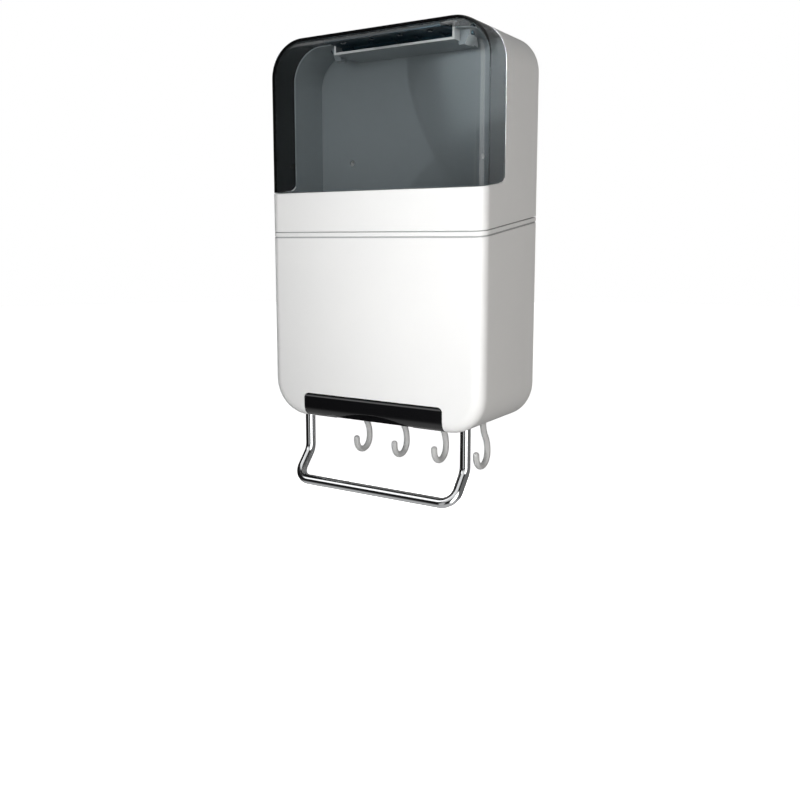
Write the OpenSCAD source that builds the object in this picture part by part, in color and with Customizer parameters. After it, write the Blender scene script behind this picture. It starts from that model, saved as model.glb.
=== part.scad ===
// Wall-hung holder for chopsticks and cutlery: a two-part moulded case with a flip-up see-through hood,
// a pull-out drip tray, a bent towel bar and a row of sliding hooks.
// X runs to the right, the front faces -Y, the wall is the plane y = 0 and Z is up.
// The origin lies on the wall, midway between the two wall screws.

/* [Case] */
// Width of the case across its front
case_w = 215; // [200:1:240]
// Height of the case, without the bar and the hooks
case_h = 332; // [310:1:380]
// Depth of the case from the wall to its front
case_d = 100; // [94:1:120]
// Radius of the four corners seen from the front
corner_r = 33; // [26:1:36]
// Radius of the rounded edge round the front
edge_r = 10; // [6:0.5:11]
// Thickness of the moulded walls
wall = 2.5; // [2:0.1:3]
// Depth of the open recess behind the back wall
recess_d = 20.5; // [20:0.5:26]

/* [Seam] */
// Height of the seam between the two halves, at the front
seam_z = 165; // [150:1:175]
// Rise of the seam and of the lid's lower edge, from the front to the wall
seam_rise = 13.5; // [0:0.5:16]
// Shadow gap left open at the seam
seam_gap = 0.8; // [0.3:0.1:1]
// Height of the tongue of the lower half inside the upper one
tongue_h = 5; // [3:0.5:8]
// Clearance round the tongue
tongue_fit = 0.1; // [0.05:0.05:0.3]
// Distance from the seam down to the moulded line under it
line_drop = 3.8; // [3:0.1:8]
// Width of the moulded line
line_w = 1.2; // [0.6:0.1:1.5]
// Depth of the moulded line
line_d = 1; // [0.4:0.1:1]

/* [Lid] */
// Height of the lid's lower edge, at the front
rim_z = 200; // [190:1:220]
// How far the lid wraps round the sides and the top
lid_depth = 36; // [30:1:38]
// Thickness of the lid
lid_wall = 2.2; // [1.8:0.1:2.5]
// Gap between the lid and the case
lid_gap = 0.8; // [0.7:0.1:1.2]
// Radius of the lid's lower rear corners
lid_corner_r = 7; // [4:0.5:10]

/* [Hinge] */
// Distance of the hinge axis behind the lid's rear edge
hinge_back = 14; // [12:0.5:16]
// Depth of the hinge axis below the top of the case
hinge_drop = 4.8; // [4.6:0.1:6]
// Width of the hinge leaf
leaf_w = 116; // [90:1:126]
// Radius of the hinge barrel
barrel_r = 4.3; // [3.8:0.1:4.5]
// Diameter of the hinge pins
pin_d = 4.4; // [3:0.1:4.4]
// Running clearance round a pin, on the radius
pin_fit = 0.05; // [0.02:0.01:0.1]
// Length of a pin inside the barrel
pin_bite = 12; // [8:1:16]
// Thickness of the leaf's tongue under the lid
leaf_tongue_t = 2; // [1.5:0.1:2.5]
// Length of the leaf's tongue under the lid
leaf_tongue_l = 18; // [14:1:24]
// Thickness of the trough and its ends
trough_wall = 2; // [1.5:0.1:3]
// Gap between the leaf and the trough
leaf_gap = 0.6; // [0.4:0.1:1]
// Gap under the barrel
barrel_gap = 0.3; // [0.2:0.05:0.6]
// Distance from the hinge axis back to the edge that stops the open lid
stop_back = 6.4; // [6.2:0.1:7]

/* [Drip tray] */
// Width of the tray's front
tray_w = 142; // [120:1:146]
// Height of the tray's front
tray_h = 21.5; // [17:0.5:22]
// Radius of the upper corners of the tray's front
tray_corner_r = 4; // [2:0.5:6]
// Radius of the rounded upper edge of the tray's front
tray_edge_r = 4; // [1:0.5:5]
// Thickness of the block behind the tray's front
tray_front_t = 12; // [11:0.5:14]
// Gap round the tray's front
tray_gap = 0.4; // [0.3:0.1:0.8]
// Thickness of the tray's walls
tray_wall = 1.6; // [1.2:0.1:2.2]
// Gap under the tray and behind it
tray_fit = 0.3; // [0.2:0.1:0.6]
// Height of the finger scoop at its middle
scoop_h = 8; // [6:0.5:10]
// Width of the finger scoop at the bottom
scoop_w = 84; // [60:1:100]

/* [Inside] */
// Height of the drain plate above the front of the tray
plate_lift = 2; // [1:0.5:4]
// Thickness of the drain plate
plate_t = 2; // [1.6:0.1:3]
// Gap at each end of the drain plate
plate_end_gap = 4; // [2:0.5:8]
// Gap in front of the drain plate
plate_front_gap = 1.5; // [1:0.5:3]
// Diameter of a drain hole
drain_d = 6; // [4:0.5:8]
// Spacing of the drain holes
drain_step = 12; // [10:0.5:16]
// Distance of each divider from the middle
divider_x = 35; // [25:1:45]
// Thickness of a divider
divider_t = 2; // [1.6:0.1:3]
// Depth of the top of the dividers below the seam
divider_drop = 15; // [10:1:45]
// Clearance of a divider in its grooves
divider_fit = 0.3; // [0.2:0.05:0.5]
// Depth of the divider grooves
groove_d = 3; // [2:0.5:4]

/* [Towel bar] */
// Diameter of the rod
bar_d = 9; // [6:0.5:9.5]
// Distance between the two legs
bar_span = 163.4; // [158:0.2:170]
// Distance of the legs behind the front
bar_leg_back = 22; // [18:1:30]
// Length of the straight leg below the case
bar_leg_drop = 35; // [25:1:45]
// Depth of the bar below the case
bar_drop = 59; // [55:1:90]
// How far the bar stands in front of its legs
bar_reach = 20.5; // [10:0.5:24]
// Radius of the bend at the foot of a leg
leg_bend_r = 14; // [10:1:16]
// Radius of the bend at an end of the bar
end_bend_r = 13; // [10:1:15]
// Room left over the boss of a leg, under the drain plate
boss_room = 6.5; // [5:0.5:8]
// Thickness of the web on top of a boss
boss_web = 3; // [2:0.5:4]
// Clearance of a leg in its boss, on the radius
bar_fit = 0.05; // [0.02:0.01:0.1]

/* [Hooks] */
// Distance of the outer hooks from the ends of their slot
hook_end = 6.5; // [4:0.5:16]
// Diameter of a hook's rod
hook_d = 5.9; // [4:0.1:6.2]
// Distance of the hooks' necks from the wall
hook_from_wall = 13; // [12.5:0.1:13.5]
// Length of the straight neck below the case
hook_neck = 13; // [8:1:14]
// How far the shank leans back
hook_lean = 9.5; // [5:0.5:9.5]
// Height between the corners of the leaning stretch
hook_lean_h = 14; // [12:1:20]
// Length of the shank between the lean's lower corner and the bowl
hook_shank = 8.5; // [7:0.5:12]
// Share of the leaning stretch that its two bends take up
hook_bend = 0.8; // [0.5:0.05:0.95]
// Radius of the hook's bowl, at the middle of the rod
hook_bowl_r = 11; // [9:0.5:13]
// Width of the flat at the bottom of the bowl
hook_flat = 0.5; // [0.5:0.5:4]
// Length of the straight tip
hook_tip = 1.5; // [1:0.5:8]
// Length of a hook's head along the rail
head_l = 7; // [6:0.5:8]
// Height of a hook's head
head_h = 3; // [2:0.5:4]
// Gap on each side of a hook's head in the rail
head_play = 0.4; // [0.2:0.1:0.6]
// Gap under a hook's head
head_fit = 0.3; // [0.2:0.05:0.5]
// Width of the hook rail
rail_w = 13; // [11.6:0.1:13]
// Height of the hook rail
rail_h = 8.5; // [7:0.5:10]
// Thickness of the hook rail
rail_t = 1.5; // [1.2:0.1:1.6]
// Gap on each side of a hook's neck in the slot
slot_fit = 0.4; // [0.3:0.1:0.6]

/* [Fixings] */
// Height of the wall screws above the bottom of the case
fixing_z = 230; // [215:1:280]
// Distance between the wall screws
fixing_span = 140; // [100:1:150]
// Diameter of the wall screw holes
fixing_d = 5; // [4:0.5:6]
// Diameter of the wall screw bosses
fixing_boss_d = 14; // [11:0.5:18]
// Distance between the screws that join the halves
case_screw_span = 160; // [120:1:176]
// Diameter of the screws of the case
case_screw_d = 3.4; // [3:0.1:4]
// Diameter of the screws of the towel bar
bar_screw_d = 4; // [3:0.1:4.5]
// Diameter of the screws of the hook rail
rail_screw_d = 2.9; // [2.5:0.1:3.5]
// Clearance round a screw, on the radius
screw_fit = 0.05; // [0.03:0.01:0.2]

/* [Hidden] */
$fn = 64;

white = [0.94, 0.94, 0.93];
smoke = [0.25, 0.26, 0.28, 0.5];
black = [0.04, 0.04, 0.045];
frost = [0.78, 0.79, 0.8];
pale_grey = [0.72, 0.73, 0.74];
chrome = [0.8, 0.81, 0.82];
steel = [0.6, 0.6, 0.62];

// How far a cut runs past the faces it opens, and how deep an added piece sinks into its wall
over = 1;
// Rounds are drawn this much inside the faces they join, on the radius
round_thin = 0.02;
// How far the ends of a rod's bends sink into its straight stretches
bend_sink = 0.4;
// Planes of the case
front_y = -case_d;
back_y = -(recess_d + wall);
lid_rear_y = front_y + lid_depth;
seam_slope = seam_rise / case_d;
// Hinge axis and trough
hinge_y = lid_rear_y + hinge_back;
hinge_z = case_h - hinge_drop;
trough_half = leaf_w / 2 + leaf_gap;
trough_z = hinge_z - barrel_r - barrel_gap - trough_wall;
bracket_t = 10;
bracket_l = 2 * barrel_r;
bracket_drop = 3;
pin_end = trough_half + trough_wall + bracket_t;
pin_proud = 1.2;
stake_d = 3;
stake_head_d = 5.2;
stake_head_t = 1.2;
// Drip tray and its bay
bay_half = tray_w / 2 + tray_gap;
bay_wall = 2;
tray_back_y = back_y - wall - tray_fit;
tray_front_back_y = front_y + tray_front_t;
basin_drop = 3;
basin_step = 2;
tray_top = tray_h - basin_drop;
basin_half = tray_w / 2 - basin_step;
// Drain plate on its ledges, as long as the case is wide at that height
plate_z = tray_h + plate_lift;
plate_half_w = case_w / 2 - corner_r - plate_end_gap
  + sqrt(pow(corner_r - wall, 2) - pow(max(corner_r - plate_z, 0), 2));
ledge = 3;
ledge_l = 30;
// Dividers
divider_top = seam_z - divider_drop;
groove_half = divider_t / 2 + divider_fit;
groove_rib = 2;
// Towel bar
leg_x = bar_span / 2;
leg_y = front_y + bar_leg_back;
boss_h = plate_z - boss_room;
boss_wall = 5;
boss_r = bar_d / 2 + boss_wall;
leg_top = boss_h - boss_web;
screw_head_t = 2.4;
bar_screw_head_d = 7.6;
bar_screw_bite = 8;
// Hooks and rail
hook_y = -hook_from_wall;
slot_half_w = hook_d / 2 + slot_fit;
// Radius of the bends of the leaning stretch, at the middle of the rod
hook_lean_r = hook_bend * min(norm([hook_lean, hook_lean_h]) / 2, hook_neck, hook_shank)
  / tan(atan2(hook_lean, hook_lean_h) / 2);
slot_end = 0.5;
rail_l = case_w - 2 * corner_r - 2 * slot_end;
slot_half_l = rail_l / 2 - rail_t - slot_end;
hook_count = 4;
hook_step = 2 * (slot_half_l - hook_end) / (hook_count - 1);
head_w = rail_w - 2 * (rail_t + head_play);
rail_tab = [12, 6, 2];
rail_tab_y = hook_y + rail_w / 2;
rail_screw_y = rail_tab_y + rail_tab[1] / 2;
rail_screw_head_d = 5.6;
rail_screw_head_t = 1.5;
// Screws that join the halves, in pillars behind the back wall
pillar = [14, 15, 28];
case_screw_y = back_y + wall + pillar[1] / 2;
pillar_z = seam_at(case_screw_y) - pillar[2] / 2;
case_screw_head_d = 7;
case_screw_l = 22;

// Height of a plane that slants with the seam, at depth y, from its height at the front
function seam_at(y, z = seam_z) = z + seam_slope * (y - front_y);

// Moves the case's own heights, from its bottom, to heights from the wall screws
module from_fixings() { translate([0, 0, -fixing_z]) children(); }

// Extrudes an outline drawn in Y and Z along X, centred
module along_x(w) { rotate([90, 0, 90]) linear_extrude(height = w, center = true) children(); }

// Section of the case's rim: r outwards, d forwards, with the front edge rounded to f
module rim_section(r, d, f) {
  difference() {
    square([r, d]);
    if (f > 0) translate([r - f, d - f]) difference() {
      square(f + over);
      circle(f);
    }
  }
}

// Box with rounded corners seen from the front and a rounded front edge, its back on y = 0
module rounded_box(w, h, d, r, f) {
  translate([0, 0, h / 2]) rotate([90, 0, 0]) {
    translate([r - w / 2, r - h / 2, 0]) cube([w - 2 * r, h - 2 * r, d]);
    for (side = [0 : 3]) {
      upright = side % 2 == 0;
      reach = (upright ? w : h) / 2 - r;
      span = (upright ? h : w) - 2 * r;
      rotate([0, 0, 90 * side]) {
        translate([reach, 0, 0]) rotate([90, 0, 0])
          linear_extrude(height = span, center = true) rim_section(r, d, f);
        translate([reach, span / 2, 0]) rotate_extrude(angle = 90) rim_section(r, d, f);
      }
    }
  }
}

// Outer form of the case, drawn in by inset all round and ending at depth rear from the wall
module case_form(inset = 0, rear = 0) {
  translate([0, -rear, inset])
    rounded_box(
      case_w - 2 * inset, case_h - 2 * inset, case_d - inset - rear, corner_r - inset, edge_r - inset
    );
}

// Space inside the case, in front of the back wall
module cavity() { case_form(wall, -back_y); }

// Everything between two planes that slant with the seam
module slanted_band(z0, z1) {
  near = front_y - over;
  along_x(case_w + 2 * over) polygon([
    [near, seam_at(near, z0)], [over, seam_at(over, z0)],
    [over, seam_at(over, z1)], [near, seam_at(near, z1)]
  ]);
}

// Walls of the whole case, before the seam parts them
module case_walls() {
  difference() {
    case_form();
    cavity();
    translate([0, over, wall])
      rounded_box(case_w - 2 * wall, case_h - 2 * wall, recess_d + over, corner_r - wall, 0);
  }
  for (side = [-1, 1]) {
    translate([side * case_screw_span / 2 - pillar[0] / 2, back_y + wall / 2, pillar_z]) cube(pillar);
    translate([side * fixing_span / 2, back_y + wall / 2, fixing_z]) rotate([-90, 0, 0])
      cylinder(d = fixing_boss_d, h = -back_y - wall / 2);
  }
}

// Space that the lid takes up, grown by gap: a bevelled outline and the round of its lower rear corner
module lid_zone(gap = 0) {
  slant = norm([1, seam_slope]);
  r = lid_corner_r + gap;
  c = [lid_rear_y - lid_corner_r, seam_at(lid_rear_y - lid_corner_r, rim_z) + lid_corner_r * slant];
  near = front_y - over;
  far = case_h + over;
  width = case_w + 2 * over;
  along_x(width) polygon([
    [near, seam_at(near, rim_z) - gap * slant], c + r * [seam_slope, -1] / slant,
    c + [r, 0], [lid_rear_y + gap, far], [near, far]
  ]);
  translate([0, c[0], c[1]]) rotate([0, 90, 0]) cylinder(r = r - round_thin, h = width, center = true);
}

// Trough under the top that takes the hinge leaf, with the brackets of the pins at its ends
module hinge_trough() {
  trough_front = lid_rear_y + lid_gap;
  trough_l = back_y - trough_front + over;
  full_half = trough_half + trough_wall;
  bracket_root = full_half - trough_wall / 2;
  bracket_z = trough_z - bracket_drop;
  translate([-full_half, trough_front, trough_z]) cube([2 * full_half, trough_l, trough_wall]);
  for (side = [0, 1]) mirror([side, 0, 0]) {
    translate([trough_half, trough_front, trough_z])
      cube([trough_wall, trough_l, case_h - over - trough_z]);
    translate([0, hinge_y, 0]) rotate([90, 0, 0]) linear_extrude(height = bracket_l, center = true)
      polygon([
        [bracket_root, bracket_z], [pin_end - bracket_t / 2, bracket_z], [pin_end, hinge_z + pin_d / 2],
        [pin_end, case_h - over], [bracket_root, case_h - over]
      ]);
  }
}

module upper_shell() {
  color(white) from_fixings() difference() {
    union() {
      intersection() {
        case_walls();
        slanted_band(seam_z + seam_gap / 2, 2 * case_h);
      }
      hinge_trough();
    }
    lid_zone(lid_gap);
    // Rebate for the tongue of the lower half
    intersection() {
      case_form(wall / 2 - tongue_fit, recess_d + wall / 2 - tongue_fit);
      slanted_band(seam_z - over, seam_z + tongue_h + 2 * tongue_fit);
    }
    // Window in the top, over the hinge leaf
    translate([-trough_half, lid_rear_y, case_h - wall - over])
      cube([2 * trough_half, hinge_back + stop_back, wall + 2 * over]);
    for (side = [-1, 1]) {
      translate([side * (trough_half - over), hinge_y, hinge_z]) rotate([0, side * 90, 0])
        cylinder(d = pin_d + 2 * screw_fit, h = trough_wall + bracket_t + 2 * over);
      translate([side * fixing_span / 2, back_y - over, fixing_z]) rotate([-90, 0, 0])
        cylinder(d = fixing_d, h = case_d);
      translate([side * case_screw_span / 2, case_screw_y, pillar_z])
        cylinder(d = case_screw_d + 2 * screw_fit, h = case_screw_l + over);
    }
  }
}

// Space for the front of the drip tray in the case, grown by gap
module tray_zone(gap = 0) {
  half = tray_w / 2 + gap;
  top = tray_h + gap;
  r = tray_corner_r + gap;
  back = tray_front_back_y + gap;
  translate([0, back, 0]) rotate([90, 0, 0]) {
    translate([-half, -over, 0]) cube([2 * half, top - r + over, case_d]);
    translate([r - half, top - r, 0]) cube([2 * (half - r), r, case_d]);
    for (side = [0, 1]) mirror([side, 0, 0]) translate([half - r, top - r, 0])
      rotate_extrude(angle = 90) square([r, case_d]);
  }
}

// Guides beside the drip tray, ledges for the drain plate, bosses of the bar and grooves of the dividers
module container_inside() {
  for (side = [0, 1]) mirror([side, 0, 0]) {
    intersection() {
      case_form(wall / 2, recess_d + wall / 2);
      union() {
        translate([bay_half, front_y, 0]) cube([bay_wall, case_d, plate_z]);
        translate([plate_half_w - ledge, (front_y + back_y - ledge_l) / 2, plate_z - ledge])
          cube([corner_r, ledge_l, ledge]);
        translate([leg_x, leg_y, 0]) cylinder(r = boss_r, h = boss_h);
      }
    }
    for (edge = [-1, 1]) {
      x = divider_x + edge * (groove_half + groove_rib / 2) - groove_rib / 2;
      rib = [groove_rib, groove_d + over, divider_top - plate_z - plate_t];
      translate([x, front_y + wall - over, plate_z + plate_t]) cube(rib);
      translate([x, back_y - groove_d, plate_z + plate_t]) cube(rib);
    }
  }
}

module lower_container() {
  color(white) from_fixings() difference() {
    union() {
      intersection() {
        case_walls();
        slanted_band(-case_h, seam_z - seam_gap / 2);
      }
      // Tongue inside the upper half
      intersection() {
        difference() {
          case_form(wall / 2 + tongue_fit, recess_d + wall / 2 + tongue_fit);
          cavity();
        }
        slanted_band(seam_z - 2 * seam_gap, seam_z + tongue_h);
      }
      container_inside();
    }
    // Moulded line under the seam
    intersection() {
      difference() {
        case_form(-over);
        case_form(line_d, -over);
      }
      slanted_band(seam_z - line_drop - line_w, seam_z - line_drop);
    }
    tray_zone(tray_gap);
    // Slot for the necks of the hooks
    translate([-slot_half_l, hook_y - slot_half_w, -over])
      cube([2 * slot_half_l, 2 * slot_half_w, wall + 2 * over]);
    for (side = [-1, 1]) {
      translate([side * leg_x, leg_y, -over]) cylinder(d = bar_d + 2 * bar_fit, h = leg_top + over);
      translate([side * leg_x, leg_y, 0]) cylinder(d = bar_screw_d + 2 * screw_fit, h = boss_h + over);
      translate([side * hook_step, rail_screw_y, 0]) rail_screw(screw_fit, over);
      translate([side * case_screw_span / 2, case_screw_y, pillar_z - over])
        cylinder(d = case_screw_d + 4 * screw_fit, h = pillar[2]);
    }
  }
}

// See-through hood, staked to the hinge leaf
module lid() {
  color(smoke) from_fixings() {
    intersection() {
      difference() {
        case_form();
        case_form(lid_wall, -over);
      }
      lid_zone();
    }
    for (x = stake_places()) translate([x, stake_y(), case_h - lid_wall - leaf_tongue_t - stake_head_t]) {
      cylinder(d = stake_head_d, h = stake_head_t);
      cylinder(d = stake_d, h = leaf_tongue_t + stake_head_t + lid_wall / 2);
    }
  }
}

// Places of the stakes that hold the leaf under the lid
function stake_places() = [for (i = [-1.5 : 1 : 1.5]) i * leaf_w / 4];
function stake_y() = lid_rear_y - leaf_tongue_l / 2;

// Black leaf: a barrel on the hinge axis, a flush cover strip and a tongue under the lid
module lid_hinge_leaf() {
  tongue_z = case_h - lid_wall - leaf_tongue_t;
  cover_y = lid_rear_y + lid_gap / 2;
  color(black) from_fixings() difference() {
    union() {
      translate([0, hinge_y, hinge_z]) rotate([0, 90, 0]) cylinder(r = barrel_r, h = leaf_w, center = true);
      translate([-leaf_w / 2, cover_y, tongue_z])
        cube([leaf_w, hinge_y - cover_y, hinge_z + barrel_r - tongue_z]);
      translate([-leaf_w / 2, lid_rear_y - leaf_tongue_l, tongue_z])
        cube([leaf_w, leaf_tongue_l + lid_gap, leaf_tongue_t]);
      // Webs between the barrel and the tongue
      for (i = [-2 : 2]) translate([i * leaf_w / 5, 0, 0]) along_x(trough_wall) polygon([
        [hinge_y, hinge_z - barrel_r / 2], [hinge_y, tongue_z + leaf_tongue_t / 2],
        [lid_rear_y - leaf_tongue_l / 3, tongue_z + leaf_tongue_t / 2]
      ]);
    }
    for (side = [-1, 1]) translate([side * (leaf_w / 2 + over), hinge_y, hinge_z])
      rotate([0, -side * 90, 0]) cylinder(d = pin_d + 2 * pin_fit, h = pin_bite + 2 * over);
    for (x = stake_places()) translate([x, stake_y(), tongue_z - over])
      cylinder(d = stake_d + 2 * screw_fit, h = leaf_tongue_t + 2 * over);
  }
}

// Pin from the bracket into the barrel, on the right or, mirrored, on the left
module hinge_pin(side) {
  start = leaf_w / 2 - pin_bite;
  color(black) from_fixings() translate([side * start, hinge_y, hinge_z]) rotate([0, side * 90, 0])
    cylinder(d = pin_d, h = pin_end - start + pin_proud);
}

module hinge_pin_left() { hinge_pin(-1); }
module hinge_pin_right() { hinge_pin(1); }

// Drawer with a front that follows the rounded edge of the case, a basin and a finger scoop
module drip_tray() {
  scoop_r = (scoop_h * scoop_h + scoop_w * scoop_w / 4) / (2 * scoop_h);
  basin_z = wall + tray_fit;
  basin_l = tray_back_y - tray_front_back_y;
  front_pocket = tray_front_t - 3 * tray_wall;
  color(black) from_fixings() difference() {
    union() {
      intersection() {
        case_form();
        tray_zone();
        along_x(tray_w + over) translate([tray_front_back_y, -over]) mirror([1, 0])
          rim_section(tray_front_t, tray_h + over, tray_edge_r);
      }
      translate([-basin_half, tray_front_back_y - over, basin_z])
        cube([2 * basin_half, basin_l + over, tray_top - basin_z]);
    }
    // Basin, and the shallower pocket behind the front
    translate([tray_wall - basin_half, tray_front_back_y, basin_z + tray_wall])
      cube([2 * (basin_half - tray_wall), basin_l - tray_wall, case_d]);
    translate([tray_wall - basin_half, tray_front_back_y - front_pocket, scoop_h + tray_wall])
      cube([2 * (basin_half - tray_wall), front_pocket + over, case_d]);
    translate([0, front_y - over, scoop_h - scoop_r]) rotate([-90, 0, 0])
      cylinder(r = scoop_r, h = tray_front_t - tray_wall + over, $fn = 180);
  }
}

// Perforated floor of the compartments, notched round the divider grooves
module drain_plate() {
  plate_front = front_y + wall + plate_front_gap;
  plate_back = back_y - divider_fit;
  drain_cols = floor((tray_w / 2 - drain_d) / drain_step);
  drain_rows = floor((plate_back - plate_front - 2 * groove_d - drain_d) / drain_step / 2);
  notch_half = groove_half + groove_rib + divider_fit;
  middle_y = (plate_front + plate_back) / 2;
  color(pale_grey) from_fixings() translate([0, 0, plate_z]) difference() {
    translate([-plate_half_w, plate_front, 0]) cube([2 * plate_half_w, plate_back - plate_front, plate_t]);
    for (i = [-drain_cols : drain_cols], j = [-drain_rows : drain_rows])
      translate([i * drain_step, middle_y + j * drain_step, -over])
        cylinder(d = drain_d, h = plate_t + 2 * over);
    for (side = [-1, 1], y = [front_y, back_y - groove_d - divider_fit])
      translate([side * divider_x - notch_half, y, -over])
        cube([2 * notch_half, wall + groove_d + divider_fit, plate_t + 2 * over]);
    // The plate's front corners clear the rounded edge of the case
    for (side = [0, 1]) mirror([side, 0, 0]) translate([plate_half_w, plate_front, 0])
      rotate([0, 0, 45]) cube([edge_r, edge_r, 4 * plate_t], center = true);
  }
}

// Partition that slides up out of its grooves, with a rounded dip in its upper edge
module divider(side) {
  low = plate_z + plate_t + divider_fit;
  near = front_y + wall + divider_fit;
  far = back_y - divider_fit;
  dip_r = 40;
  dip = 10;
  color(pale_grey) from_fixings() translate([side * divider_x, 0, 0]) difference() {
    along_x(divider_t) polygon([[near, low], [far, low], [far, divider_top], [near, divider_top]]);
    translate([0, (near + far) / 2, divider_top + dip_r - dip]) rotate([0, 90, 0])
      cylinder(r = dip_r, h = divider_t + 2 * over, center = true, $fn = 120);
  }
}

module divider_left() { divider(-1); }
module divider_right() { divider(1); }

function unit(v) = v / norm(v);

// Frame with its origin at c and its axes along x, y and z
function frame_at(c, x, y, z) = [for (i = [0 : 2]) [x[i], y[i], z[i], c[i]]];

// Stands its children at c, with their Z along dir
module stand_along(c, dir) {
  x = unit(cross(abs(dir[2]) < 0.9 ? [0, 0, 1] : [1, 0, 0], dir));
  multmatrix(frame_at(c, x, cross(dir, x), dir)) children();
}

// Round rod of diameter d along the corners p, with the inner ones bent to the radii r
module bent_rod(p, r, d) {
  last = len(p) - 1;
  dir = [for (i = [0 : last - 1]) unit(p[i + 1] - p[i])];
  turn = [for (i = [1 : last - 1]) acos(dir[i - 1] * dir[i])];
  // Length that each bend takes from the straight stretches beside it
  cut = [0, for (i = [0 : last - 2]) r[i] * tan(turn[i] / 2), 0];
  for (i = [0 : last - 1]) stand_along(p[i] + cut[i] * dir[i], dir[i])
    cylinder(d = d, h = norm(p[i + 1] - p[i]) - cut[i] - cut[i + 1]);
  for (i = [1 : last - 1]) {
    old = dir[i - 1];
    inward = unit(dir[i] - (dir[i] * old) * old);
    sink = bend_sink / r[i - 1] * 180 / PI;
    multmatrix(frame_at(p[i] - cut[i] * old + r[i - 1] * inward, -inward, old, cross(-inward, old)))
      rotate([0, 0, -sink]) rotate_extrude(angle = turn[i - 1] + 2 * sink)
        translate([r[i - 1], 0]) circle(d = d - 2 * round_thin);
  }
}

// Bent rod, drilled up its two ends for screws
module towel_bar() {
  half = [
    [leg_x, leg_y, leg_top], [leg_x, leg_y, -bar_leg_drop], [leg_x, leg_y - bar_reach, -bar_drop]
  ];
  other_half = [for (i = [2 : -1 : 0]) [-half[i][0], half[i][1], half[i][2]]];
  color(chrome) from_fixings() difference() {
    bent_rod(concat(half, other_half), [leg_bend_r, end_bend_r, end_bend_r, leg_bend_r], bar_d);
    for (side = [-1, 1]) translate([side * leg_x, leg_y, leg_top - bar_screw_bite - over])
      cylinder(d = bar_screw_d + 2 * screw_fit, h = bar_screw_bite + 2 * over);
  }
}

module towel_bar_screws() {
  color(steel) from_fixings() for (side = [-1, 1])
    translate([side * leg_x, leg_y, leg_top - bar_screw_bite]) {
      cylinder(d = bar_screw_d, h = bar_screw_bite + boss_web + over);
      translate([0, 0, bar_screw_bite + boss_web]) cylinder(d = bar_screw_head_d, h = screw_head_t);
    }
}

// Inverted channel over the slot, with a tab for each screw
module hook_rail() {
  color(pale_grey) from_fixings() translate([0, 0, wall]) difference() {
    union() {
      translate([-rail_l / 2, hook_y - rail_w / 2, 0]) cube([rail_l, rail_w, rail_h]);
      for (side = [-1, 1]) translate([side * hook_step - rail_tab[0] / 2, rail_tab_y - over, 0])
        cube(rail_tab + [0, over, 0]);
    }
    translate([rail_t - rail_l / 2, hook_y - rail_w / 2 + rail_t, -over])
      cube([rail_l - 2 * rail_t, rail_w - 2 * rail_t, rail_h - rail_t + over]);
    for (side = [-1, 1]) translate([side * hook_step, rail_screw_y, -over])
      cylinder(d = rail_screw_d + 2 * screw_fit, h = rail_tab[2] + 2 * over);
  }
}

// Countersunk screw from below, or its hole when grown by fit and run on below the bottom
module rail_screw(fit = 0, below = 0) {
  r = rail_screw_d / 2 + fit;
  translate([0, 0, -below]) cylinder(r = r, h = wall + rail_tab[2] + below);
  cylinder(r1 = rail_screw_head_d / 2 + fit, r2 = r, h = rail_screw_head_t);
}

module rail_screws() {
  color(steel) from_fixings() for (side = [-1, 1])
    translate([side * hook_step, rail_screw_y, 0]) rail_screw();
}

// J hook with a flat head in the rail: neck, lean to the wall, bowl and round tip
module hook(place) {
  shank_y = hook_y + hook_lean;
  tip_y = shank_y - 2 * hook_bowl_r - hook_flat;
  lean_z = -hook_neck - hook_lean_h;
  bowl_z = lean_z - hook_shank - hook_bowl_r;
  head_z = wall + head_fit;
  tip = [0, tip_y, bowl_z + hook_bowl_r + hook_tip];
  corners = [
    [0, hook_y, head_z + over], [0, hook_y, -hook_neck], [0, shank_y, lean_z],
    [0, shank_y, bowl_z], [0, tip_y, bowl_z], tip
  ];
  color(frost) from_fixings() translate([(place - (hook_count - 1) / 2) * hook_step, 0, 0]) {
    translate([-head_l / 2, hook_y - head_w / 2, head_z]) cube([head_l, head_w, head_h]);
    bent_rod(corners, [hook_lean_r, hook_lean_r, hook_bowl_r, hook_bowl_r], hook_d);
    translate(tip) sphere(d = hook_d - 2 * round_thin);
  }
}

module hook_1() { hook(0); }
module hook_2() { hook(1); }
module hook_3() { hook(2); }
module hook_4() { hook(3); }

module case_screws() {
  color(steel) from_fixings() for (side = [-1, 1])
    translate([side * case_screw_span / 2, case_screw_y, pillar_z]) {
      translate([0, 0, -screw_head_t]) cylinder(d = case_screw_head_d, h = screw_head_t);
      cylinder(d = case_screw_d, h = case_screw_l);
    }
}

upper_shell();
lower_container();
lid();
lid_hinge_leaf();
hinge_pin_left();
hinge_pin_right();
drip_tray();
drain_plate();
divider_left();
divider_right();
towel_bar();
towel_bar_screws();
hook_rail();
rail_screws();
hook_1();
hook_2();
hook_3();
hook_4();
case_screws();
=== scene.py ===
"""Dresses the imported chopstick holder.

Every solid gets a finish. The hood, the towel bar and the hooks are modelled again with finer rounds, and a studio
with a camera is set up round them.
"""
import math

import bmesh
import bpy
from bpy.props import FloatProperty, FloatVectorProperty, IntProperty, PointerProperty
from mathutils import Matrix, Vector


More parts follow.
